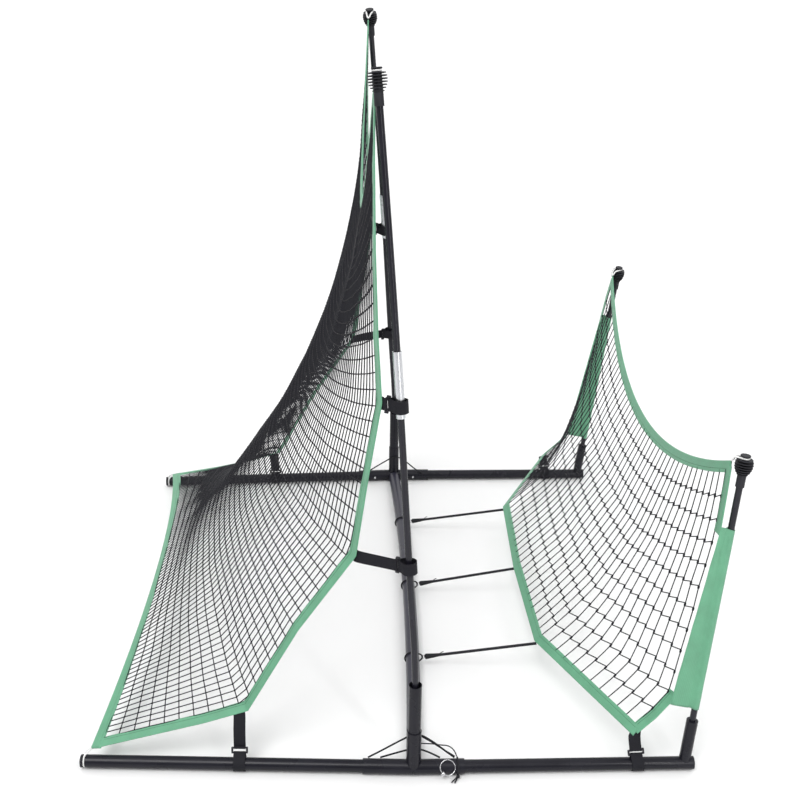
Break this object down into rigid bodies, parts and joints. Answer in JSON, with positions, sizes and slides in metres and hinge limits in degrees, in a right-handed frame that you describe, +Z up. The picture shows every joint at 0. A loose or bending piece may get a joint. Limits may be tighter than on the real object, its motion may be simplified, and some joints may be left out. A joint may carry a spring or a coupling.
{
  "type": "ball rebounder",
  "caption": "Free-standing two-sided ball rebounder: a tall curved net and a low leaning net stretched between flexible poles on an H-shaped tube base.",
  "frame": {"origin": "on the ground under the middle of the cross tube's two tees, midway between the side rails", "axes": "+Z up, +X along the side rails from the tall net towards the low net, Y across the base"},
  "size_m": [1.5895, 1.5847, 1.6752],
  "materials": {
    "black_tube": "gloss",
    "black_pole": "gloss",
    "silver_sleeve": "satin",
    "zinc_steel": "polished",
    "black_cap": "satin",
    "black_plastic": "satin",
    "white_elastic": "woven",
    "black_elastic": "braided",
    "black_cord": "braided",
    "black_webbing": "woven",
    "green_fabric": "woven",
    "black_netting": "knotted mesh"
  },
  "bodies": {
    "root": {"elastic_hooks": "zinc_steel", "far_cross_tube": "black_tube", "far_elastic": "black_elastic", "far_ferrule": "silver_sleeve", "far_left_rail": "black_tube", "far_low_net_strap": "black_webbing", "far_lower_pole": "black_pole", "far_lower_strap": "black_webbing", "far_middle_strap": "black_webbing", "far_pole_sleeve": "green_fabric", "far_rail_cap": "black_cap", "far_right_rail": "black_tube", "far_riser": "black_tube", "far_short_cap": "black_cap", "far_short_pole": "black_pole", "far_tall_cap": "black_cap", "far_tee": "black_tube", "far_upper_lanyard": "black_cord", "far_upper_pole": "black_pole", "far_upper_strap": "black_webbing", "low_net": "black_netting", "low_net_bottom_hem": "green_fabric", "low_net_side_hems": "green_fabric", "low_net_top_hem": "green_fabric", "middle_elastic": "black_elastic", "near_cross_tube": "black_tube", "near_elastic": "black_elastic", "near_ferrule": "silver_sleeve", "near_lanyard_knot": "black_cord", "near_left_rail": "black_tube", "near_low_net_strap": "black_webbing", "near_lower_lanyard": "black_cord", "near_lower_pole": "black_pole", "near_lower_strap": "black_webbing", "near_middle_strap": "black_webbing", "near_pole_sleeve": "green_fabric", "near_rail_cap": "black_cap", "near_right_rail": "black_tube", "near_riser": "black_tube", "near_short_cap": "black_cap", "near_short_pole": "black_pole", "near_tall_cap": "black_cap", "near_tee": "black_tube", "near_upper_lanyard": "black_cord", "near_upper_pole": "black_pole", "near_upper_strap": "black_webbing", "pole_cap_loops": "white_elastic", "rail_cap_loops": "white_elastic", "rail_end_plugs": "black_cap", "strap_buckles": "black_plastic", "tall_net": "black_netting", "tall_net_front_hem": "green_fabric", "tall_net_side_hems": "green_fabric", "tall_net_top_hem": "green_fabric", "tube_loops": "black_elastic"},
    "near_left_button": {"near_left_button": "zinc_steel"},
    "far_left_button": {"far_left_button": "zinc_steel"},
    "far_right_button": {"far_right_button": "zinc_steel"},
    "quick_pin": {"quick_pin": "zinc_steel"},
    "quick_pin_ring": {"quick_pin_ring": "zinc_steel"}
  },
  "joints": [
    {"name": "near_left_button_press", "type": "slide", "parent": "root", "child": "near_left_button", "axis": [-0.0488, -0.9988, 0], "range_m": [0, 0.006], "stiffness_N_per_m": 2000, "springref_m": -0.002},
    {"name": "far_left_button_press", "type": "slide", "parent": "root", "child": "far_left_button", "axis": [-0.0488, 0.9988, 0], "range_m": [0, 0.006], "stiffness_N_per_m": 2000, "springref_m": -0.002},
    {"name": "far_right_button_press", "type": "slide", "parent": "root", "child": "far_right_button", "axis": [0, 1, 0], "range_m": [0, 0.006], "stiffness_N_per_m": 2000, "springref_m": -0.002},
    {"name": "quick_pin_pull", "type": "slide", "parent": "root", "child": "quick_pin", "axis": [0, -1, 0], "range_m": [0, 0.055]},
    {"name": "pin_ring_swing", "type": "hinge", "parent": "quick_pin", "child": "quick_pin_ring", "pos_m": [0.072, -0.788, 0.019], "axis": [0.788, -0.3748, -0.4884], "range_deg": [0, 145]}
  ]
}
